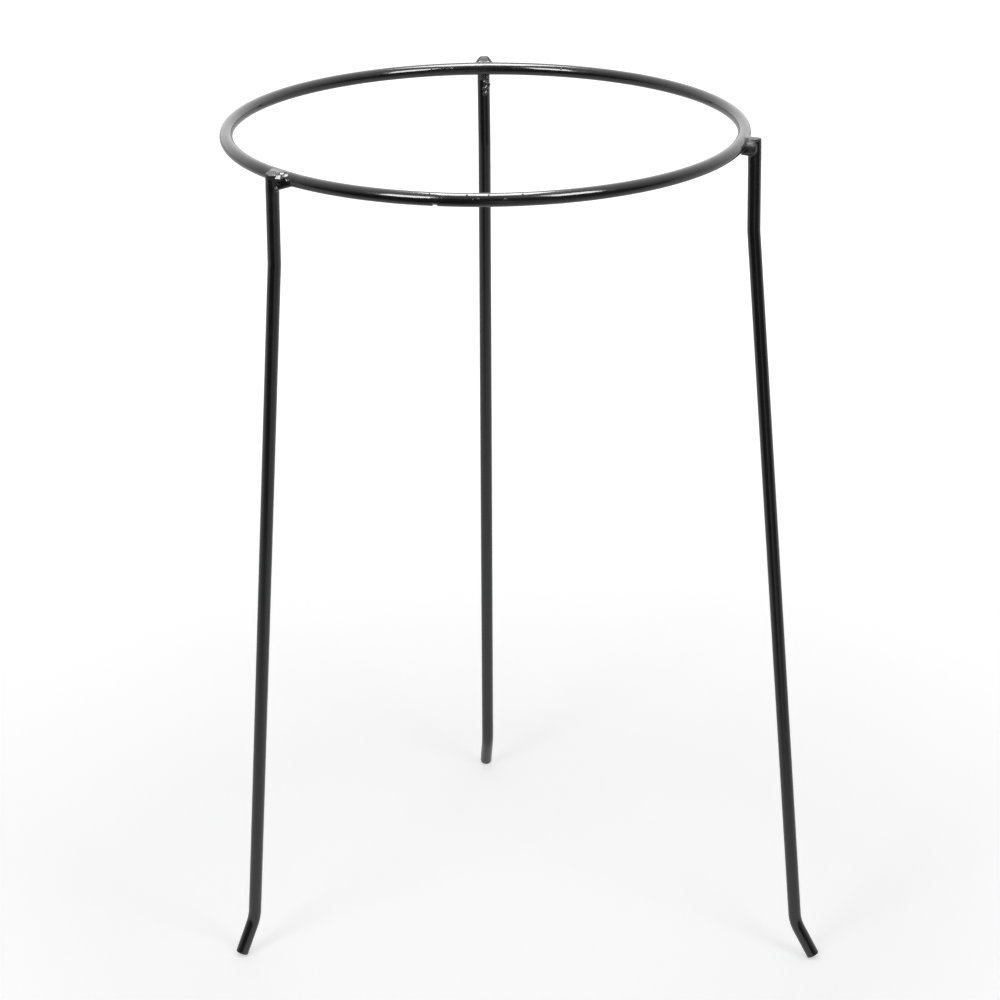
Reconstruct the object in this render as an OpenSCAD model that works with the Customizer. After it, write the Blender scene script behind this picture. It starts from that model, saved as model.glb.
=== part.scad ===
// Wire plant stand: a round ring of steel rod on three bent rod legs, welded and coated.
// Millimetres. The origin is on the floor under the ring's axis, +Z is up,
// and +Y points from the axis towards the rear leg.

/* [Ring] */
// Outside diameter of the ring
ring_outer_d = 254; // [180:1:360]
// Diameter of the rod that the ring is rolled from
ring_rod_d = 6.35; // [4:0.05:10]
// Height of the ring's centreline above the floor
ring_height = 412.75; // [250:0.25:700]

/* [Ring seam] */
// Where the ring's two ends meet, in degrees round the ring from +X
seam_at = 259.5; // [240:0.5:300]
// Gap between the ring's two ends, which the butt weld fills
seam_gap = 1.6; // [0.8:0.1:3]
// Width of the butt weld along the ring
seam_weld_width = 4; // [3.5:0.1:8]
// How far the butt weld stands proud of the ring's rod
seam_proud = 0.25; // [0.2:0.05:0.8]

/* [Legs] */
// Diameter of the rod that the legs are bent from
leg_rod_d = 6.35; // [4:0.05:10]
// Length of a leg above its upper bend, up to the cut top end
leg_top_length = 43.75; // [25:0.25:80]
// How far that length leans inward on its way down, in degrees
leg_top_lean = 1; // [0:0.1:4]
// How far the long shaft leans outward on its way down, in degrees
shaft_splay = 3.2; // [1:0.1:8]
// Length of the foot below the lower bend
foot_length = 18.5; // [14:0.25:35]
// How far the foot flares outward on its way down, in degrees
foot_flare = 30; // [15:0.5:45]
// Centreline radius of the upper bend
upper_bend_r = 24; // [12:1:60]
// Centreline radius of the lower bend
lower_bend_r = 12; // [8:0.5:24]
// Bevel round a leg's cut top end
top_bevel = 0.5; // [0.2:0.05:1]
// How much the rod swells in radius where it is bent
bend_swell = 0.03; // [0.02:0.01:0.1]
// Depth of the small flat where a foot's cut end stands on the floor
foot_flat = 0.35; // [0.2:0.05:0.6]

/* [Rear leg as welded] */
// Place on the ring, in degrees round it from +X
rear_at = 90.3; // [80:0.1:100]
// Lean along the ring, in degrees
rear_side_lean = -0.2; // [-8:0.1:8]
// Splay added to the whole leg, in degrees
rear_extra_splay = 1.5; // [-4:0.1:4]
// Turn of the leg's bends about its upright, in degrees
rear_turn = 6.5; // [-20:0.5:20]
// How far the cut top end stands above the ring's centreline
rear_top_above = 2.9; // [1:0.1:6]

/* [Front left leg as welded] */
// Place on the ring, in degrees round it from +X
front_left_at = 221.7; // [205:0.1:230]
// Lean along the ring, in degrees
front_left_side_lean = -6.2; // [-8:0.1:8]
// Splay added to the whole leg, in degrees
front_left_extra_splay = -3.6; // [-4:0.1:4]
// Turn of the leg's bends about its upright, in degrees
front_left_turn = 6.5; // [-20:0.5:20]
// How far the cut top end stands above the ring's centreline
front_left_top_above = 1.3; // [1:0.1:6]

/* [Front right leg as welded] */
// Place on the ring, in degrees round it from +X
front_right_at = 347.2; // [325:0.1:350]
// Lean along the ring, in degrees
front_right_side_lean = -3.4; // [-8:0.1:8]
// Splay added to the whole leg, in degrees
front_right_extra_splay = 1.9; // [-4:0.1:4]
// Turn of the leg's bends about its upright, in degrees
front_right_turn = -7.5; // [-20:0.5:20]
// How far the cut top end stands above the ring's centreline
front_right_top_above = 1.7; // [1:0.1:6]

/* [Rear weld] */
// Radius of the lump over the rear leg's top end
rear_weld_size = 2.6; // [2:0.1:3.4]
// How far that lump's two shoulders lie from its middle, along the ring
rear_weld_spread = 2.8; // [2:0.1:3.6]
// Radius of the bead in the corner under the ring
rear_under_size = 1.8; // [1.4:0.1:2.4]
// How far that bead's metal has run down the leg
rear_run_length = 9.6; // [6:0.1:12]
// How far the run drifts sideways on its way down
rear_run_drift = 1.4; // [0:0.1:2]

/* [Front left weld] */
// Radius of the main bead
front_left_weld_size = 2.9; // [2.4:0.1:3.6]
// How far it runs on along the ring, past the side of the leg
front_left_weld_reach = 3.6; // [1.5:0.1:5]
// Height of its middle above the ring's centreline
front_left_weld_height = 0.5; // [-3:0.1:1.5]
// How far below the ring's centreline its last drop hangs on the leg
front_left_weld_drop = 3.4; // [2.6:0.1:4]

/* [Front right weld] */
// Radius of the main bead
front_right_weld_size = 3.3; // [2.4:0.1:3.6]
// How far it runs on along the ring, past the side of the leg
front_right_weld_reach = 1.9; // [1.5:0.1:5]
// Height of its middle above the ring's centreline
front_right_weld_height = -2.3; // [-3:0.1:1.5]
// How far below the ring's centreline its last drop hangs on the leg
front_right_weld_drop = 5; // [4:0.1:6]

/* [Small welds] */
// Radius of the small bead at the back of each front leg
small_weld_size = 1.7; // [1:0.1:2.5]

/* [Hidden] */

$fn = 96;
rod_colour = [0.06, 0.06, 0.065];
weld_colour = [0.16, 0.16, 0.17];

ring_rod_r = ring_rod_d / 2;
leg_rod_r = leg_rod_d / 2;
ring_r = ring_outer_d / 2 - ring_rod_r;
seam_angle = seam_gap / ring_r * 180 / PI;

// A leg's list: place on the ring, side lean, extra splay, turn, height of its top end over the ring
AT = 0;
LEAN = 1;
SPLAY = 2;
TURN = 3;
ABOVE = 4;
rear = [rear_at, rear_side_lean, rear_extra_splay, rear_turn, rear_top_above];
front_left = [
    front_left_at,
    front_left_side_lean,
    front_left_extra_splay,
    front_left_turn,
    front_left_top_above
];
front_right = [
    front_right_at,
    front_right_side_lean,
    front_right_extra_splay,
    front_right_turn,
    front_right_top_above
];

// Angles of a leg's three straight runs, outward from straight down, in its own bend plane
top_angle = -leg_top_lean;
shaft_angle = shaft_splay;
foot_angle = foot_flare;
upper_turn = shaft_angle - top_angle;
lower_turn = foot_angle - shaft_angle;

// How far a straight run reaches into a bend, whose swell still hides it there
bend_overlap = 0.3;

// Direction of a run that leans by an angle outward from straight down
function run_dir(angle) = [sin(angle), 0, -cos(angle)];

// Turns of a vector about the three axes
function turned_z(v, a) = [v.x * cos(a) - v.y * sin(a), v.x * sin(a) + v.y * cos(a), v.z];
function turned_x(v, a) = [v.x, v.y * cos(a) - v.z * sin(a), v.y * sin(a) + v.z * cos(a)];
function turned_y(v, a) = [v.x * cos(a) + v.z * sin(a), v.y, v.z * cos(a) - v.x * sin(a)];

// A direction in a leg's bend plane, as it lies once the leg is welded on
function as_welded(v, leg) =
    turned_y(turned_x(turned_z(v, leg[TURN]), leg[LEAN]), -leg[SPLAY]);

// How far a run of unit length comes down once the leg is welded on
function fall(angle, leg) = -as_welded(run_dir(angle), leg).z;

// Distance between the ring's centreline and a leg's where the two rods touch side by side
function weld_offset(leg) =
    let (top = as_welded(run_dir(top_angle), leg))
    (ring_rod_r + leg_rod_r) / cos(atan(top.x / top.z));

// Height of the centre of a foot's cut end, with its lower edge on the floor
function foot_end_height(leg) = leg_rod_r * sqrt(1 - pow(fall(foot_angle, leg), 2)) - foot_flat;

// Length of the shaft between the corners of the two bends, which brings the foot to the floor
function shaft_length(leg) =
    (ring_height
        - foot_end_height(leg)
        - fall(top_angle, leg) * (leg_top_length - leg[ABOVE])
        - fall(foot_angle, leg) * foot_length)
    / fall(shaft_angle, leg);

// Lumps in the run of weld metal down the rear leg
run_lumps = 6;

// Length that a bend takes from the run on each side of its corner
function bend_setback(bend_r, bend_angle) = bend_r * tan(bend_angle / 2);

// Children drawn about a leg's place on the ring: X outward, Y along the ring, Z up
module at_weld(leg) {
    rotate([0, 0, leg[AT]])
        translate([ring_r, 0, ring_height])
            children();
}

// Arc about the ring's axis at its height: where it starts, the angle it covers, and its rod's radius
module ring_arc(start, angle, rod_r) {
    translate([0, 0, ring_height])
        rotate([0, 0, start])
            rotate_extrude(angle = angle, $fn = 240)
                translate([ring_r, 0])
                    circle(r = rod_r);
}

module ring_rod() {
    ring_arc(seam_at + seam_angle / 2, 360 - seam_angle, ring_rod_r);
}

// Straight run of leg rod from a point in the bend plane, with a bevel round its first end
module straight_run(from, angle, length, bevel = 0) {
    translate(from)
        rotate([0, 180 - angle, 0])
            rotate_extrude()
                polygon([
                    [0, 0],
                    [leg_rod_r - bevel, 0],
                    [leg_rod_r, bevel],
                    [leg_rod_r, length],
                    [0, length]
                ]);
}

// Bend of leg rod that starts at a point, heading at one angle, and turns outward by another
module rod_bend(from, angle, bend_angle, bend_r) {
    translate(from + bend_r * [cos(angle), 0, sin(angle)])
        rotate([90, 0, 0])
            rotate([0, 0, angle + 180])
                rotate_extrude(angle = bend_angle, $fn = 240)
                    translate([bend_r, 0])
                        circle(r = leg_rod_r + bend_swell);
}

// The length of a leg above its upper bend, with the weld point at the origin.
// It runs a little way into the bend.
module leg_top(leg) {
    straight_run(
        -leg[ABOVE] * run_dir(top_angle),
        top_angle,
        leg_top_length - bend_setback(upper_bend_r, upper_turn) + bend_overlap,
        top_bevel
    );
}

// A leg's bent rod in its own bend plane, with the weld point at the origin
module leg_rod(leg) {
    upper_setback = bend_setback(upper_bend_r, upper_turn);
    lower_setback = bend_setback(lower_bend_r, lower_turn);
    upper_corner = (leg_top_length - leg[ABOVE]) * run_dir(top_angle);
    lower_corner = upper_corner + shaft_length(leg) * run_dir(shaft_angle);
    leg_top(leg);
    rod_bend(
        upper_corner - upper_setback * run_dir(top_angle),
        top_angle,
        upper_turn,
        upper_bend_r
    );
    straight_run(
        upper_corner + (upper_setback - bend_overlap) * run_dir(shaft_angle),
        shaft_angle,
        shaft_length(leg) - upper_setback - lower_setback + 2 * bend_overlap
    );
    rod_bend(
        lower_corner - lower_setback * run_dir(shaft_angle),
        shaft_angle,
        lower_turn,
        lower_bend_r
    );
    straight_run(
        lower_corner + (lower_setback - bend_overlap) * run_dir(foot_angle),
        foot_angle,
        foot_length - lower_setback + bend_overlap
    );
}

// Children drawn in a leg's own bend plane, leaned, splayed and turned as the leg is welded
module as_leg(leg) {
    rotate([0, 0, leg[AT]])
        translate([ring_r + weld_offset(leg), 0, ring_height])
            rotate([leg[LEAN], -leg[SPLAY], 0])
                rotate([0, 0, leg[TURN]])
                    children();
}

// A leg in its place against the outside of the ring, its foot ground flat at the floor
module leg_in_place(leg) {
    difference() {
        as_leg(leg)
            leg_rod(leg);
        translate([0, 0, -ring_outer_d])
            cube([4 * ring_outer_d, 4 * ring_outer_d, 2 * ring_outer_d], center = true);
    }
}

// A bead's lumps, drawn about a leg's place on the ring, less the two rods that they join
module weld_bead(leg) {
    difference() {
        at_weld(leg)
            children();
        ring_rod();
        as_leg(leg)
            leg_top(leg);
    }
}

// One lump of weld metal: out from the ring, along it, up from it, and its radius
module lump(out, along, up, size) {
    translate([out, along, up])
        sphere(r = size);
}

// Main bead of a front leg: on along the ring, in the groove at one side of the leg,
// over the leg's shoulder, and a last drop on the leg.
// The side is 1 for the one further round the ring, or -1.
module side_bead(leg, side, size, reach, height, drop) {
    weld_bead(leg) {
        lump(ring_rod_r * 0.6, side * (leg_rod_r + reach), height, size * 0.8);
        lump(ring_rod_r * 1.15, side * leg_rod_r * 1.25, height, size);
        lump(ring_rod_r * 1.45, side * leg_rod_r * 0.7, height, size * 0.9);
        lump(ring_rod_r * 1.3, side * leg_rod_r * 0.95, -drop, size * 0.6);
    }
}

// Small bead in the groove at one side of a front leg
module small_side_bead(leg, side) {
    weld_bead(leg) {
        lump(ring_rod_r, side * leg_rod_r, small_weld_size * 0.5, small_weld_size);
        lump(ring_rod_r, side * leg_rod_r, -small_weld_size * 0.7, small_weld_size);
    }
}

module ring() {
    color(rod_colour)
        ring_rod();
}

// Butt weld that joins the ring's ends: it fills the gap and stands a little proud
module ring_seam_weld() {
    bead_angle = seam_weld_width / ring_r * 180 / PI;
    color(weld_colour)
        difference() {
            ring_arc(seam_at - bead_angle / 2, bead_angle, ring_rod_r + seam_proud);
            ring_rod();
        }
}

module rear_leg() {
    color(rod_colour)
        leg_in_place(rear);
}

module front_left_leg() {
    color(rod_colour)
        leg_in_place(front_left);
}

module front_right_leg() {
    color(rod_colour)
        leg_in_place(front_right);
}

// Lump over the rear leg's top end and the top of the ring, with a shoulder at each side
module rear_weld_top() {
    color(weld_colour)
        weld_bead(rear) {
            lump(ring_rod_r * 1.2, 0, ring_rod_r * 1.05, rear_weld_size);
            for (side = [-1, 1])
                lump(ring_rod_r * 1.1, side * rear_weld_spread, ring_rod_r * 0.9, rear_weld_size * 0.66);
        }
}

// Bead in the corner under the ring, on the inner side of the rear leg, and its run down the leg
module rear_weld_under() {
    color(weld_colour)
        weld_bead(rear)
            for (step = [0 : run_lumps - 1])
                let (share = step / (run_lumps - 1), size = rear_under_size * (1 - share / 4))
                    lump(
                        ring_rod_r + size * 0.35,
                        -rear_run_drift * share,
                        -ring_rod_r - rear_run_length * share,
                        size
                    );
}

module front_left_weld_front() {
    color(weld_colour)
        side_bead(
            front_left,
            1,
            front_left_weld_size,
            front_left_weld_reach,
            front_left_weld_height,
            front_left_weld_drop
        );
}

module front_left_weld_back() {
    color(weld_colour)
        small_side_bead(front_left, -1);
}

module front_right_weld_front() {
    color(weld_colour)
        side_bead(
            front_right,
            -1,
            front_right_weld_size,
            front_right_weld_reach,
            front_right_weld_height,
            front_right_weld_drop
        );
}

module front_right_weld_back() {
    color(weld_colour)
        small_side_bead(front_right, 1);
}

ring();
ring_seam_weld();
rear_leg();
front_left_leg();
front_right_leg();
rear_weld_top();
rear_weld_under();
front_left_weld_front();
front_left_weld_back();
front_right_weld_front();
front_right_weld_back();
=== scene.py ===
"""A welded rod plant stand: one ring on three bent legs, under glossy black enamel.

Lengths in the tables are in millimetres, and every mesh is made in metres.
"""

import math
import random

import bmesh
import bpy
from mathutils import Matrix, Vector, noise


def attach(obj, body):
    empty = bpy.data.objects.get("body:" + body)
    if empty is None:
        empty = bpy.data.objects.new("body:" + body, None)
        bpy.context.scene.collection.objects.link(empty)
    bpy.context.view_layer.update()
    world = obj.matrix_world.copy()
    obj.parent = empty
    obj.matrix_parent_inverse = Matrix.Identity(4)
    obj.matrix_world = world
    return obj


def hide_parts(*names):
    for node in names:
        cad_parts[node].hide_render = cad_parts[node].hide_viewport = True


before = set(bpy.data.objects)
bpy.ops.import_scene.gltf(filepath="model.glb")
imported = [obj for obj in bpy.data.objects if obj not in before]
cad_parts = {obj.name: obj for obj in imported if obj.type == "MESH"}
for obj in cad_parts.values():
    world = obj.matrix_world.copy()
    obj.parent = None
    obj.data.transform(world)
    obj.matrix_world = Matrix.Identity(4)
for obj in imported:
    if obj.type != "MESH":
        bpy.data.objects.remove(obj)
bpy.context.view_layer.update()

MM = 0.001
BODY = "root"


# ------------------------------------------------------------ sizes of the stand

ROD_RADIUS = 3.16           # 1/4 in bar, less the rise and fall of the coat laid over it
RING_LINE_RADIUS = 123.825  # centre of the ring's bar, measured from the ring's axis
RING_HEIGHT = 412.75
RING_MIDDLE = Vector((0, 0, RING_HEIGHT))
BEND_RADII = (24.0, 19.0)   # the slight upper bend and the foot's bend
CUT_ROUNDING = 0.75         # how far the enamel softens the edge of a sawn end
CUT_CROWN = 0.05            # rise of each step towards the middle of that end

# Each leg: its top end, the corner of its upper bend, the corner of its foot bend, its foot end
LEG_CORNERS = {
    "rear_leg": (
        (-0.70, 130.15, 415.65), (-0.46, 130.54, 371.90),
        (-1.61, 159.42, 18.67), (-2.68, 169.31, 1.39),
    ),
    "front_left_leg": (
        (-97.19, -86.79, 414.04), (-97.78, -80.87, 370.70),
        (-119.78, -52.42, 19.22), (-126.61, -57.34, 1.15),
    ),
    "front_right_leg": (
        (126.94, -28.74, 414.45), (127.06, -31.32, 370.77),
        (152.35, -61.24, 18.54), (161.58, -65.68, 1.44),
    ),
}

# Where each leg is welded to the ring, in degrees round its axis
WELDED_AT = {"rear": 90.3, "front_left": 221.7, "front_right": 347.2}

SEAM_AT = 259.5             # where the ring's two ends are butted, in degrees
SEAM_GAP = 1.6
SEAM_HALF_WIDTH = 3.6       # of the weld over the gap, along the bar
SEAM_SWELL = 1.010          # girth of that weld, 1 being the bar's own
NOTCH_TILT = -68.0          # the weld's unfilled notch: degrees up from the ring's outer side
NOTCH_SPREAD = 48.0         # degrees to either side of that
NOTCH_DEPTH = 0.18          # as a share of the bar's radius
NOTCH_STEEPNESS = 1.6       # over 1, the notch has a flat floor

# Specks under the ring's enamel: degrees round the ring, degrees up from its outer side,
# radius, height
RING_NIBS = (
    (261.3, 42.0, 0.50, 0.25), (262.4, 50.0, 0.35, 0.20), (266.2, 58.0, 0.50, 0.28),
    (267.4, 20.0, 0.45, 0.20), (268.5, 24.0, 0.50, 0.20), (270.6, 60.0, 0.45, 0.25),
    (273.9, 15.0, 0.70, 0.18), (277.5, 57.0, 0.50, 0.25), (98.0, 160.0, 1.00, 0.55),
    (71.3, 148.0, 0.60, 0.45), (103.0, 152.0, 0.45, 0.25),
)

# The coat's slow rise and fall: how deep, and how far from one rise to the next
ROD_COAT = (0.02, 7.0)
WELD_COAT = (0.03, 2.4)


# ------------------------------------------------------------ how fine the meshes are

ROD_SIDES = 48
SLEEVE_SIDES = 40
SEAM_SIDES = 64
STEP = 1.5          # between stations along a plain rod
BEND_STEP = 0.5     # between stations in a bend
SLEEVE_STEP = 0.5   # between stations along the coat pooled at a joint
SEAM_STEP = 0.2
SLEEVE_FADE = 16    # stations over which a sleeve rises out of the bar
SEAM_FADE = 9
SLEEVE_SUNK = 0.985 # girth at the ends of a sleeve, just inside the bar

# The skin over a weld: the size of its cells and the rounds of smoothing
WEB_SKIN = (0.24, 14)
WELD_SKIN = (0.2, 4)


# ------------------------------------------------------------ rods

def straight_stations(start, end, heading, step):
    """Places from start up to, but not at, end."""
    count = max(1, round((end - start).length / step))
    return [(start.lerp(end, k / count), heading) for k in range(count)]


def bent_stations(corners, radii):
    """Places along a bent rod, from its top end to its foot: the centre and heading at each."""
    corners = [Vector(c) for c in corners]
    headings = [(b - a).normalized() for a, b in zip(corners, corners[1:])]
    places, start = [], corners[0]
    for corner, radius, before, after in zip(corners[1:], radii, headings, headings[1:]):
        turn = before.angle(after)
        setback = radius * math.tan(turn / 2)
        end = corner - before * setback
        places += straight_stations(start, end, before, STEP)
        inward = (after - before * math.cos(turn)).normalized()
        count = max(3, round(radius * turn / BEND_STEP))
        for k in range(count):
            swept = turn * k / count
            along, aside = radius * math.sin(swept), radius * (1 - math.cos(swept))
            centre = end + before * along + inward * aside
            places.append((centre, before * math.cos(swept) + inward * math.sin(swept)))
        start = corner + after * setback
    places += straight_stations(start, corners[-1], headings[-1], STEP)
    return places + [(corners[-1], headings[-1])]


def on_ring(degrees):
    """The centre of the ring's bar at an angle round its axis, and which way the bar runs."""
    angle = math.radians(degrees)
    out = Vector((math.cos(angle), math.sin(angle), 0))
    return out * RING_LINE_RADIUS + RING_MIDDLE, Vector((-out.y, out.x, 0))


def ring_stations(first, last, step):
    """Places along the ring's centre line, between two angles round its axis in degrees."""
    count = round(math.radians(last - first) * RING_LINE_RADIUS / step)
    return [on_ring(first + (last - first) * k / count) for k in range(count + 1)]


def sleeve_girths(count, swell, fade):
    """A coat that rises out of the bar at one end of a sleeve and sinks back at the other."""
    girths = []
    for k in range(count):
        rise = min(1.0, min(k, count - 1 - k) / fade)
        girths.append(SLEEVE_SUNK + (swell - SLEEVE_SUNK) * (rise * rise * (3 - 2 * rise)))
    return girths


def new_shape():
    """An empty shape whose points can remember how they lie on their bar, for the grain."""
    shape = bmesh.new()
    shape.verts.layers.float_vector.new("rod_lie")
    return shape


def drawn_rod(shape, places, girths=None, sides=ROD_SIDES):
    """A round bar swept along its stations, and its two end faces."""
    lie = shape.verts.layers.float_vector["rod_lie"]
    centre, heading = places[0]
    upright = heading.to_track_quat("Z", "X").to_matrix().to_4x4()
    girth = girths[0] if girths else 1
    ends = bmesh.ops.create_circle(
        shape, segments=sides, radius=ROD_RADIUS * girth,
        matrix=Matrix.Translation(centre) @ upright,
    )["verts"]
    unturned = upright.inverted() @ Matrix.Translation(-centre)
    for v in ends:
        v[lie] = (unturned @ v.co) * MM / girth
    rim = first_rim = list({e for v in ends for e in v.link_edges})
    for k, ((here, before), (there, after)) in enumerate(zip(places, places[1:])):
        grown = bmesh.ops.extrude_edge_only(shape, edges=rim)["geom"]
        ends = [g for g in grown if isinstance(g, bmesh.types.BMVert)]
        moved = set(ends)
        rim = [g for g in grown
               if isinstance(g, bmesh.types.BMEdge) and moved.issuperset(g.verts)]
        swing = before.rotation_difference(after).to_matrix()
        bmesh.ops.rotate(shape, cent=here, matrix=swing, verts=ends)
        bmesh.ops.translate(shape, vec=there - here, verts=ends)
        if girths:
            swell = girths[k + 1] / girths[k]
            about = Matrix.Translation(-there)
            bmesh.ops.scale(shape, vec=(swell,) * 3, space=about, verts=ends)
        for v in ends:
            v[lie].z += (there - here).length * MM
    caps = []
    for edges in (first_rim, rim):
        caps += bmesh.ops.contextual_create(shape, geom=edges)["faces"]
    bmesh.ops.recalc_face_normals(shape, faces=shape.faces[:])
    return caps


def soften_cuts(shape, caps):
    """Sawn ends whose edges the enamel has rounded, with a slightly crowned face."""
    for cap in caps:
        bmesh.ops.bevel(
            shape, geom=list(cap.edges), offset=CUT_ROUNDING, offset_type="OFFSET",
            segments=6, profile=0.5, affect="EDGES", material=-1, clamp_overlap=False,
        )
    flat = [f for f in shape.faces if len(f.verts) > 8]
    for share in (0.8, 0.7, 0.6):
        flat = [f for f in flat if f.is_valid]
        bmesh.ops.inset_region(
            shape, faces=flat, thickness=share * CUT_ROUNDING, depth=CUT_CROWN,
            use_even_offset=True,
        )


def uneven_coat(shape, coat, seed):
    """The coat's slow rise and fall over the metal, as geometry."""
    depth, size = coat
    shift = Vector((seed * 17.3, seed * 5.1, seed * 9.7))
    shape.normal_update()
    for v in shape.verts:
        broad = noise.noise(v.co / size + shift)
        fine = noise.noise(v.co / (size * 0.35) + shift)
        v.co += v.normal * depth * (broad + 0.5 * fine)


def finished_piece(name, shape, finish, nodes):
    """The shape in metres as a piece that rides on the stand and stands for its CAD nodes."""
    bmesh.ops.transform(shape, matrix=Matrix.Scale(MM, 4), verts=shape.verts[:])
    mesh = bpy.data.meshes.new(name)
    shape.to_mesh(mesh)
    shape.free()
    mesh.shade_smooth()
    mesh.materials.append(finish)
    piece = bpy.data.objects.new(name, mesh)
    bpy.context.scene.collection.objects.link(piece)
    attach(piece, BODY)
    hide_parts(*nodes)
    return piece


# ------------------------------------------------------------ finishes

def graph(tree):
    """Short ways to add nodes: one of any kind, one that maps a range, one that does sums."""
    nodes, links = tree.nodes, tree.links
    nodes.clear()

    def add(kind, inputs=(), **settings):
        made = nodes.new(kind)
        for key, value in settings.items():
            setattr(made, key, value)
        for key, value in dict(inputs).items():
            if isinstance(value, bpy.types.NodeSocket):
                links.new(value, made.inputs[key])
            else:
                made.inputs[key].default_value = value
        return made

    def ramp(value, start, end, low=0.0, high=1.0, shape="LINEAR"):
        limits = {
            "Value": value, "From Min": start, "From Max": end, "To Min": low, "To Max": high,
        }
        return add("ShaderNodeMapRange", limits, interpolation_type=shape).outputs["Result"]

    def sums(kind, *terms):
        return add("ShaderNodeMath", enumerate(terms), operation=kind).outputs["Value"]

    return add, ramp, sums


def black_enamel(name, dark, light, streaks, peel, dullness=0.0):
    """Near-black enamel under a clear gloss.

    Streaks is the strength of the drawn lines along the bar, peel that of the fine orange peel,
    and dullness is added to the roughness of the gloss and of the enamel under it.
    """
    finish = bpy.data.materials.new(name)
    finish.use_nodes = True
    add, ramp, sums = graph(finish.node_tree)

    def grain(place, scale, detail, roughness):
        values = {"Vector": place, "Scale": scale, "Detail": detail, "Roughness": roughness}
        return add("ShaderNodeTexNoise", values).outputs["Fac"]

    def bump(height, strength, distance, **under):
        values = {"Height": height, "Strength": strength, "Distance": distance, **under}
        return add("ShaderNodeBump", values).outputs["Normal"]

    place = add("ShaderNodeTexCoord").outputs["Object"]
    lie = add("ShaderNodeAttribute", attribute_name="rod_lie").outputs["Vector"]
    drawn = add("ShaderNodeMapping", {"Vector": lie, "Scale": (1.0, 1.0, 0.02)})
    clouds = grain(place, 90.0, 4.0, 0.6)
    lines = grain(drawn.outputs["Vector"], 1100.0, 3.0, 0.55)
    dimples = grain(place, 1300.0, 2.0, 0.5)

    # Greyer where the coat is thin, duller where it is cloudy
    thinness = ramp(
        sums("MULTIPLY_ADD", lines, streaks, clouds), 0.4 + 0.35 * streaks, 0.62 + 0.65 * streaks,
    )
    shade = add("ShaderNodeMixRGB", {"Fac": thinness, "Color1": (*dark, 1), "Color2": (*light, 1)})
    gloss = ramp(clouds, 0.3, 0.7, 0.10 + dullness, 0.24 + dullness)

    # Orange peel over the drawn lines
    relief = bump(dimples, peel, 0.00004, Normal=bump(lines, 0.25 * streaks, 0.00005))

    skin = add("ShaderNodeBsdfPrincipled", {
        "Base Color": shade.outputs["Color"],
        "Metallic": 0.0,
        "Roughness": gloss,
        "IOR": 1.5,
        "Specular IOR Level": 0.5,
        "Coat Weight": 1.0,
        "Coat Roughness": 0.05 + dullness,
        "Coat IOR": 1.5,
        "Normal": relief,
    })
    add("ShaderNodeOutputMaterial", {"Surface": skin.outputs["BSDF"]})
    return finish


DEEP_BLACK = (0.006, 0.006, 0.0065)
THIN_ON_ROD = (0.012, 0.012, 0.0125)
THIN_ON_WELD = (0.014, 0.014, 0.015)

rod_enamel = black_enamel("rod_enamel", DEEP_BLACK, THIN_ON_ROD, 1.0, 0.35)
weld_enamel = black_enamel("weld_enamel", DEEP_BLACK, THIN_ON_WELD, 0.0, 0.3)
# Rougher where the coat lies over metal that the weld has burnt
burnt_weld_enamel = black_enamel(
    "burnt_weld_enamel", DEEP_BLACK, THIN_ON_WELD, 0.0, 0.3, dullness=0.40,
)


# ------------------------------------------------------------ ring and legs

def paint_nib(shape, centre, out, radius, height):
    """A speck under the enamel: a low round bump on the bar's skin."""
    lie = shape.verts.layers.float_vector["rod_lie"]
    place = Matrix.Translation(centre) @ out.to_track_quat("Z", "X").to_matrix().to_4x4()
    flattened = place @ Matrix.Diagonal((radius, radius, height, 1))
    nib = bmesh.ops.create_icosphere(shape, subdivisions=3, radius=1, matrix=flattened)
    for v in nib["verts"]:
        v[lie] = v.co * MM


def make_ring():
    """The ring's bar, open by a narrow gap at its seam, with specks under its enamel."""
    shape = new_shape()
    half_gap = math.degrees(SEAM_GAP / 2 / RING_LINE_RADIUS)
    places = ring_stations(SEAM_AT + half_gap, SEAM_AT + 360 - half_gap, STEP)
    soften_cuts(shape, drawn_rod(shape, places))
    uneven_coat(shape, ROD_COAT, 1)
    for angle, tilt, radius, height in RING_NIBS:
        here, heading = on_ring(angle)
        side = heading.cross(Vector((0, 0, 1)))
        tilt = math.radians(tilt)
        out = side * math.cos(tilt) + Vector((0, 0, math.sin(tilt)))
        paint_nib(shape, here + out * ROD_RADIUS, out, radius, height)
    return finished_piece("ring_bar", shape, rod_enamel, ["ring"])


def make_leg(node_name, seed):
    """One bent leg, with the lower edge of its foot's cut end worn flat on the floor."""
    shape = new_shape()
    places = bent_stations(LEG_CORNERS[node_name], BEND_RADII)
    soften_cuts(shape, drawn_rod(shape, places))
    uneven_coat(shape, ROD_COAT, seed)
    for v in shape.verts:
        v.co.z = max(v.co.z, 0.0)
    return finished_piece(node_name + "_bar", shape, rod_enamel, [node_name])


# ------------------------------------------------------------ welds

def joint_frame(where):
    """Axes of a joint, from the centre of the ring's bar: outward, along the ring, and up."""
    angle = math.radians(WELDED_AT[where])
    outward = Vector((math.cos(angle), math.sin(angle), 0))
    axes = Matrix((outward, (-outward.y, outward.x, 0), (0, 0, 1))).transposed().to_4x4()
    return Matrix.Translation(outward * RING_LINE_RADIUS + RING_MIDDLE) @ axes


def pooled_coat(shape, places, swell):
    """Enamel pooled round a bar, from one place along it to another."""
    drawn_rod(shape, places, sleeve_girths(len(places), swell, SLEEVE_FADE), SLEEVE_SIDES)


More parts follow.
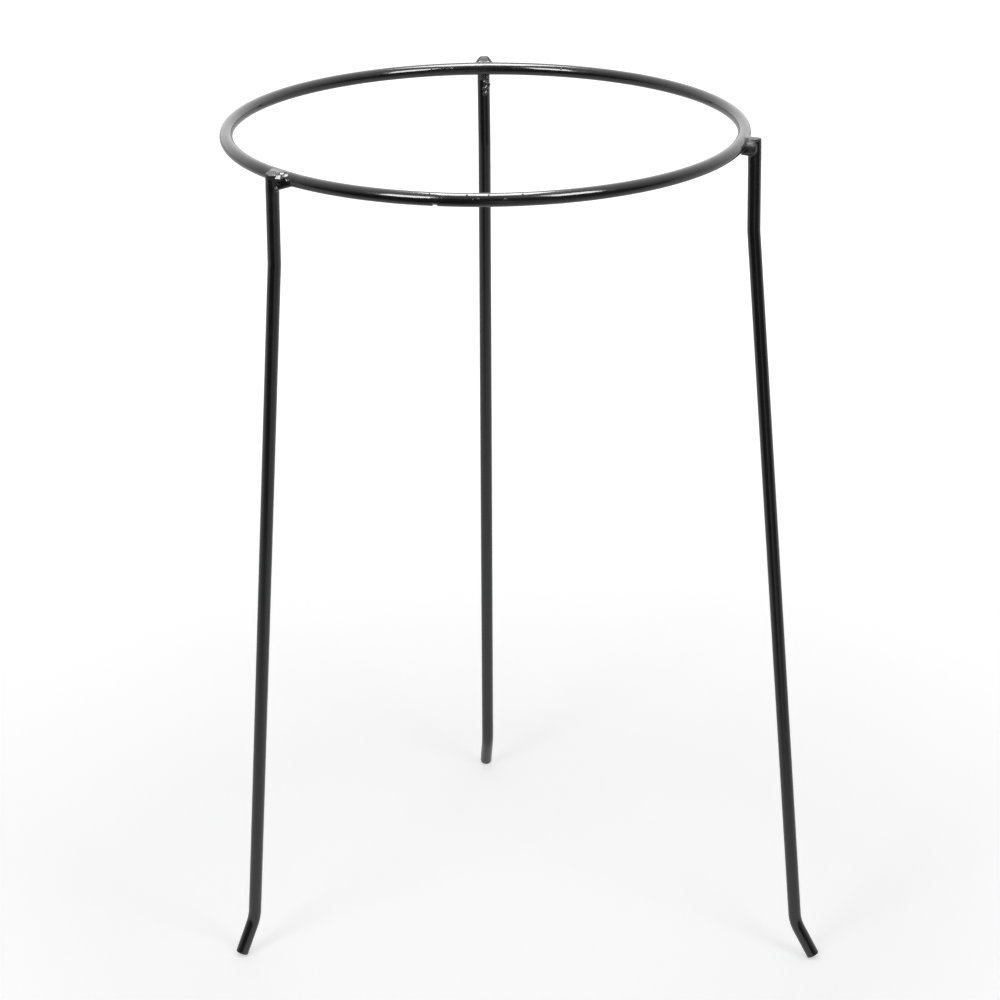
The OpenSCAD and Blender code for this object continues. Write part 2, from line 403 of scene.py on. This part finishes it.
def ring_sleeve(shape, where, first, last, swell):
    """Pooled enamel on the ring's bar, measured along it from a joint."""
    degrees = [WELDED_AT[where] + math.degrees(d / RING_LINE_RADIUS) for d in (first, last)]
    pooled_coat(shape, ring_stations(*degrees, SLEEVE_STEP), swell)


def leg_sleeve(shape, leg, first, last, swell):
    """Pooled enamel on a leg's bar, measured down from its top end."""
    top, corner = (Vector(c) for c in LEG_CORNERS[leg][:2])
    heading = (corner - top).normalized()
    ends = top + heading * first, top + heading * last
    pooled_coat(shape, straight_stations(*ends, heading, SLEEVE_STEP), swell)


def lump(shape, joint, place, radii):
    """A round lump of weld metal."""
    middle = joint @ Matrix.Translation(place) @ Matrix.Diagonal((*radii, 1))
    bmesh.ops.create_icosphere(shape, subdivisions=3, radius=1, matrix=middle)


def web(shape, joint, balls):
    """Metal drawn out between a few round places: one tight skin round them all."""
    skin = bmesh.new()
    for place, radius in balls:
        lump(skin, joint, place, (radius,) * 3)
    bmesh.ops.delete(skin, geom=skin.edges[:], context="EDGES_FACES")
    hull = bmesh.ops.convex_hull(skin, input=skin.verts[:])
    loose = hull["geom_interior"] + hull["geom_unused"]
    inner = {g for g in loose if isinstance(g, bmesh.types.BMVert)}
    bmesh.ops.delete(skin, geom=list(inner), context="VERTS")
    mesh = bpy.data.meshes.new("web")
    skin.to_mesh(mesh)
    skin.free()
    shape.from_mesh(mesh)
    bpy.data.meshes.remove(mesh)


def ridge(shape, joint, start, end, radius):
    """A thick line of weld metal between two places."""
    web(shape, joint, ((start, radius), (end, radius)))


def block(shape, placed, halves, rounding):
    """A lump with flattened faces: a block whose edges are rounded by a share of its half width."""
    sized = placed @ Matrix.Diagonal((*halves, 1))
    corners = bmesh.ops.create_cube(shape, size=2, matrix=sized)["verts"]
    bmesh.ops.bevel(
        shape, geom=list({e for v in corners for e in v.link_edges}),
        offset=rounding * min(halves), offset_type="OFFSET",
        segments=5, profile=0.5, affect="EDGES", material=-1,
    )


def pad(shape, joint, place, halves, turn):
    """A block with wide round edges, turned about the upright."""
    spun = Matrix.Rotation(math.radians(turn), 4, "Z")
    block(shape, joint @ Matrix.Translation(place) @ spun, halves, 0.75)


def facet(shape, joint, place, halves, facing):
    """A block whose flat face looks in a direction, so that it catches one softbox."""
    facing = Vector(facing)
    middle = joint @ Vector(place) - facing * halves[2]
    turned = facing.to_track_quat("Z", "X").to_matrix().to_4x4()
    block(shape, Matrix.Translation(middle) @ turned, halves, 0.45)


def fused(name, shape, cell, rounds):
    """One skin over all the lumps, run together as molten metal and enamel do."""
    bmesh.ops.recalc_face_normals(shape, faces=shape.faces[:])
    mesh = bpy.data.meshes.new(name)
    shape.to_mesh(mesh)
    shape.free()
    blank = bpy.data.objects.new(name + "_blank", mesh)
    bpy.context.scene.collection.objects.link(blank)
    skin = blank.modifiers.new("skin", "REMESH")
    skin.mode = "VOXEL"
    skin.voxel_size = cell
    ease = blank.modifiers.new("ease", "SMOOTH")
    ease.factor = 0.5
    ease.iterations = rounds
    bpy.context.view_layer.update()
    settled = blank.evaluated_get(bpy.context.evaluated_depsgraph_get())
    done = bpy.data.meshes.new_from_object(settled)
    result = bmesh.new()
    result.from_mesh(done)
    bpy.data.objects.remove(blank)
    bpy.data.meshes.remove(mesh)
    bpy.data.meshes.remove(done)
    return result


# Directions that a facet faces to catch the left softbox or the overhead one
TO_LEFT_BOX = (-0.258, -0.843, 0.470)
TO_TOP_BOX = (0.0, -0.49, 0.87)


def make_weld(name, where, nodes, seed, webs=(), pads=(), sleeves=(), lumps=(), facets=(),
              ridges=(), burnt=()):
    """A weld at one of the joints, with every place given in that joint's axes.

    Webs, pads and sleeves of pooled coat run together first. Lumps, facets and ridges stay
    bolder on top of them. The coat is dull within a reach of each burnt place.
    """
    shape = new_shape()
    joint = joint_frame(where)
    chance = random.Random(seed)
    for balls in webs:
        web(shape, joint, balls)
    for place, halves, turn in pads:
        pad(shape, joint, place, halves, turn)
    for bar, first, last, swell in sleeves:
        if bar == "ring":
            ring_sleeve(shape, where, first, last, swell)
        else:
            leg_sleeve(shape, bar, first, last, swell)
    if shape.verts:
        shape = fused(name, shape, *WEB_SKIN)
    for place, size in lumps:
        lump(shape, joint, place, [size * chance.uniform(0.95, 1.05) for _ in range(3)])
    for place, halves, facing in facets:
        facet(shape, joint, place, halves, facing)
    for start, end, radius in ridges:
        ridge(shape, joint, start, end, radius)
    shape = fused(name, shape, *WELD_SKIN)
    uneven_coat(shape, WELD_COAT, seed)
    for place, reach in burnt:
        middle = joint @ Vector(place)
        for face in shape.faces:
            if (face.calc_center_median() - middle).length < reach:
                face.material_index = 1
    piece = finished_piece(name, shape, weld_enamel, nodes)
    piece.data.materials.append(burnt_weld_enamel)
    return piece


def make_seam():
    """The ring's butt weld, ground nearly flush, with a notch left on its lower outer side."""
    shape = new_shape()
    half = math.degrees(SEAM_HALF_WIDTH / RING_LINE_RADIUS)
    places = ring_stations(SEAM_AT - half, SEAM_AT + half, SEAM_STEP)
    drawn_rod(shape, places, sleeve_girths(len(places), SEAM_SWELL, SEAM_FADE), SEAM_SIDES)
    for v in shape.verts:
        centre = Vector((v.co.x, v.co.y, 0)).normalized() * RING_LINE_RADIUS + RING_MIDDLE
        spoke = v.co - centre
        beside = math.hypot(v.co.x, v.co.y) - RING_LINE_RADIUS
        off_notch = abs(math.degrees(math.atan2(spoke.z, beside)) - NOTCH_TILT)
        nearness = max(0.0, 1 - off_notch / NOTCH_SPREAD)
        v.co = centre + spoke * (1 - NOTCH_DEPTH * min(1.0, NOTCH_STEEPNESS * nearness))
    return finished_piece(
        "ring_seam_bead", shape, weld_enamel, ["ring_seam_weld"],
    )


# ------------------------------------------------------------ studio

# Each softbox: degrees round the ring from the camera, positive to its right; degrees up;
# metres from the ring's middle; width and height; how bright in the gloss, and as a fill
SOFTBOXES = {
    "overhead_softbox": (180.0, 79.4, 0.81, (0.30, 0.56), 11.0, 3.6),
    "left_softbox": (-35.0, 33.0, 1.20, (0.38, 0.50), 11.0, 5.0),
    "right_softbox": (40.0, 37.0, 1.20, (0.40, 0.50), 11.0, 5.0),
}

CAMERA_PLACE = (0.0, -1.6, 0.8285)
CAMERA_TURN = (0.206, -20.726, -0.420)  # degrees to the right, up, and tilted anticlockwise
CAMERA_SENSOR = 36.0
CAMERA_LENS = 123.57

# How bright the paper looks in the gloss, from the left (0) to the right (1) of the stand
PAPER_FROM_THE_FRONT = (
    (0.0, 0.07), (0.125, 0.16), (0.19, 0.24), (0.25, 0.70), (0.33, 0.55), (0.58, 0.38),
    (1.0, 0.12),
)


def grey(level):
    return level, level, level, 1


def pale_floor():
    """A pale floor that the camera sees as white paper, with the stand's soft shadow on it."""
    shape = bmesh.new()
    bmesh.ops.create_grid(shape, x_segments=1, y_segments=1, size=6.0)
    mesh = bpy.data.meshes.new("studio_floor")
    shape.to_mesh(mesh)
    shape.free()
    floor = bpy.data.objects.new("studio_floor", mesh)
    bpy.context.scene.collection.objects.link(floor)
    paper = bpy.data.materials.new("studio_paper")
    paper.use_nodes = True
    add, ramp, sums = graph(paper.node_tree)
    path = add("ShaderNodeLightPath").outputs
    place = add("ShaderNodeTexCoord").outputs["Object"]
    east, north, _ = add("ShaderNodeSeparateXYZ", {"Vector": place}).outputs

    # Paper white to the camera, lifted a little more the further it is from the lamps
    matt = add("ShaderNodeBsdfDiffuse", {"Color": grey(0.85)}).outputs["BSDF"]
    away = add("ShaderNodeVectorMath", {0: place}, operation="LENGTH").outputs["Value"]
    lift = sums("MULTIPLY", ramp(away, 0.2, 1.2, 0.52, 1.0), path["Is Camera Ray"])
    glow = add("ShaderNodeEmission", {"Strength": lift}).outputs["Emission"]
    both = add("ShaderNodeAddShader", {0: matt, 1: glow}).outputs["Shader"]

    # In the gloss of the stand the paper is white round it and behind it, the front of the room
    # is dim, and the paper is brightest close to the feet
    front = add("ShaderNodeValToRGB", {"Fac": ramp(east, -0.2, 1.0)})
    stops = front.color_ramp.elements
    for at, level in PAPER_FROM_THE_FRONT[1:-1]:
        stops.new(at).color = grey(level)
    stops[0].color, stops[-1].color = (grey(PAPER_FROM_THE_FRONT[k][1]) for k in (0, -1))
    behind = ramp(north, -0.62, -0.05, shape="SMOOTHSTEP")
    level = add("ShaderNodeMixRGB", {
        "Fac": behind, "Color1": front.outputs["Color"], "Color2": grey(0.85),
    })
    near = ramp(path["Ray Length"], 0.1, 0.5, 0.70, 0.55)
    seen = add("ShaderNodeEmission", {"Color": level.outputs["Color"], "Strength": near})
    choose = add("ShaderNodeMixShader", {
        0: path["Is Glossy Ray"], 1: both, 2: seen.outputs["Emission"],
    })
    add("ShaderNodeOutputMaterial", {"Surface": choose.outputs["Shader"]})
    mesh.materials.append(paper)


def studio_air():
    """White to the camera; for the gloss, pale overhead and behind the stand and dim in front."""
    world = bpy.data.worlds.new("studio_air")
    bpy.context.scene.world = world
    world.use_nodes = True
    add, ramp, _ = graph(world.node_tree)

    def air(strength):
        return add("ShaderNodeBackground", {"Strength": strength}).outputs["Background"]

    path = add("ShaderNodeLightPath").outputs
    heading = add("ShaderNodeTexCoord").outputs["Generated"]
    rise = add("ShaderNodeVectorMath", {0: heading, 1: (0.0, 1.0, 0.9)}, operation="DOT_PRODUCT")
    room = air(ramp(rise.outputs["Value"], -0.5, 1.25, 0.08, 1.33))
    inside = add("ShaderNodeMixShader", {0: path["Is Glossy Ray"], 1: air(0.3), 2: room})
    shown = add("ShaderNodeMixShader", {
        0: path["Is Camera Ray"], 1: inside.outputs["Shader"], 2: air(1.0),
    })
    add("ShaderNodeOutputWorld", {"Surface": shown.outputs["Shader"]})


def soft_lamp(name, place, target, size, radiance, in_gloss):
    """A flat soft light that faces a target. Its power follows from how bright its face looks."""
    lamp = bpy.data.lights.new(name, "AREA")
    lamp.shape = "RECTANGLE"
    lamp.size, lamp.size_y = size
    lamp.energy = radiance * math.pi * size[0] * size[1]
    light = bpy.data.objects.new(name, lamp)
    light.location = place
    light.rotation_euler = (place - target).to_track_quat("Z", "Y").to_euler()
    light.visible_glossy = in_gloss
    light.visible_diffuse = not in_gloss
    bpy.context.scene.collection.objects.link(light)


def softbox(name, azimuth, elevation, distance, size, sheen, fill):
    """A softbox that faces the ring's middle: one lamp for the gloss and one that only fills."""
    a, e = math.radians(azimuth), math.radians(elevation)
    target = RING_MIDDLE * MM
    heading = Vector((math.sin(a) * math.cos(e), -math.cos(a) * math.cos(e), math.sin(e)))
    place = target + distance * heading
    soft_lamp(name + "_face", place, target, size, sheen, True)
    soft_lamp(name + "_fill", place, target, size, fill, False)


def studio_camera():
    """The photograph's viewpoint, on a long lens."""
    yaw, pitch, roll = (math.radians(a) for a in CAMERA_TURN)
    level = math.cos(pitch)
    forward = Vector((math.sin(yaw) * level, math.cos(yaw) * level, math.sin(pitch)))
    right = forward.cross(Vector((0, 0, 1))).normalized()
    up = right.cross(forward)
    turned_right = right * math.cos(roll) + up * math.sin(roll)
    turned_up = up * math.cos(roll) - right * math.sin(roll)
    lens = bpy.data.cameras.new("studio_camera")
    lens.sensor_width = CAMERA_SENSOR
    lens.lens = CAMERA_LENS
    lens.clip_start, lens.clip_end = 0.05, 30.0
    camera = bpy.data.objects.new("studio_camera", lens)
    turn = Matrix((turned_right, turned_up, -forward)).transposed()
    camera.matrix_world = Matrix.Translation(CAMERA_PLACE) @ turn.to_4x4()
    bpy.context.scene.collection.objects.link(camera)
    bpy.context.scene.camera = camera


# ------------------------------------------------------------ the stand, piece by piece

make_ring()
for seed, leg in enumerate(LEG_CORNERS, 2):
    make_leg(leg, seed)

# Webs hold balls (place, radius). Pads are (place, half sizes, turn). Sleeves are (bar, from, to,
# swell). Lumps are (place, radius). Facets are (place, half sizes, facing). Ridges are (start,
# end, radius). Burnt places are (place, reach).
make_weld(
    "front_left_weld_bead", "front_left", ["front_left_weld_front"], 11,
    webs=[
        (((0.3, -6.0, 0.3), 2.8), ((0.3, 2.0, 0.3), 2.8), ((5.9, 0.0, 0.2), 3.0)),
        (((3.0, 3.0, -2.0), 2.2), ((2.2, 6.6, -1.2), 2.0), ((5.6, 2.0, -3.4), 1.6)),
        (((6.2, 2.2, -4.0), 1.2), ((5.9, 1.9, -5.0), 1.1)),
    ],
    sleeves=[("ring", -15.0, 15.0, 1.03), ("front_left_leg", -1.9, 17.0, 1.025)],
    pads=[((3.2, 4.0, -0.2), (2.6, 3.3, 2.6), 45.0)],
    lumps=[((2.6, 6.6, -0.3), 1.7), ((6.6, 3.0, -4.0), 1.05)],
    facets=[
        ((6.5, 4.1, 2.0), (1.5, 1.9, 1.2), TO_LEFT_BOX),
        ((2.6, 5.9, 2.5), (1.0, 1.7, 1.2), TO_TOP_BOX),
    ],
    burnt=[((7.6, -0.8, 2.2), 3.8)],
)
make_weld(
    "front_left_small_bead", "front_left", ["front_left_weld_back"], 12,
    webs=[(((3.0, -3.2, 0.4), 1.9), ((3.2, -3.2, -1.2), 1.6))],
)
make_weld(
    "front_right_weld_bead", "front_right", ["front_right_weld_front"], 13,
    webs=[
        (((0.3, -2.0, 0.3), 2.8), ((0.3, 4.0, 0.3), 2.8), ((6.35, 0.0, -1.0), 3.15)),
        (((1.6, -5.0, -2.9), 2.0), ((4.9, -2.8, -4.2), 1.6)),
    ],
    pads=[((4.5, -3.2, -1.8), (3.2, 2.9, 3.0), 12.0)],
    sleeves=[("ring", -16.0, 13.0, 1.03), ("front_right_leg", -0.6, 17.0, 1.025)],
    burnt=[((7.6, 0.4, 0.6), 3.6), ((5.0, -5.4, 1.0), 3.4)],
)
make_weld(
    "front_right_small_bead", "front_right", ["front_right_weld_back"], 14,
    webs=[(((2.8, 3.0, 0.5), 1.9), ((3.0, 3.2, -1.0), 1.5))],
)
make_weld(
    "rear_weld_cap", "rear", ["rear_weld_top"], 15,
    webs=[(
        ((3.4, 0.7, 3.75), 2.0), ((3.4, -1.4, 3.75), 2.0), ((1.7, 2.7, 1.1), 2.4),
        ((1.7, -3.3, 1.1), 2.3), ((4.8, 2.2, 0.5), 2.4), ((4.8, -2.6, 0.5), 2.4),
    )],
    sleeves=[("ring", -13.0, 14.0, 1.02)],
    burnt=[((4.5, -0.3, 4.5), 4.3)],
)
make_weld(
    "rear_weld_run", "rear", ["rear_weld_under"], 16,
    lumps=[
        ((3.3, 1.0, -6.1), 1.0), ((3.2, -0.9, -5.5), 1.2), ((3.8, -1.9, -6.6), 1.0),
        ((3.4, 0.6, -3.8), 1.5), ((3.6, -1.3, -8.4), 1.1),
    ],
    facets=[((2.4, -0.2, -7.2), (0.7, 0.7, 0.8), TO_LEFT_BOX)],
    ridges=[
        ((3.3, -0.4, -11.2), (4.8, -2.3, -9.6), 1.3),
        ((3.3, -0.5, -14.0), (4.6, -1.8, -12.3), 1.2),
    ],
)
make_seam()

pale_floor()
studio_air()
for name, settings in SOFTBOXES.items():
    softbox(name, *settings)
studio_camera()
bpy.context.scene.view_settings.view_transform = "Standard"
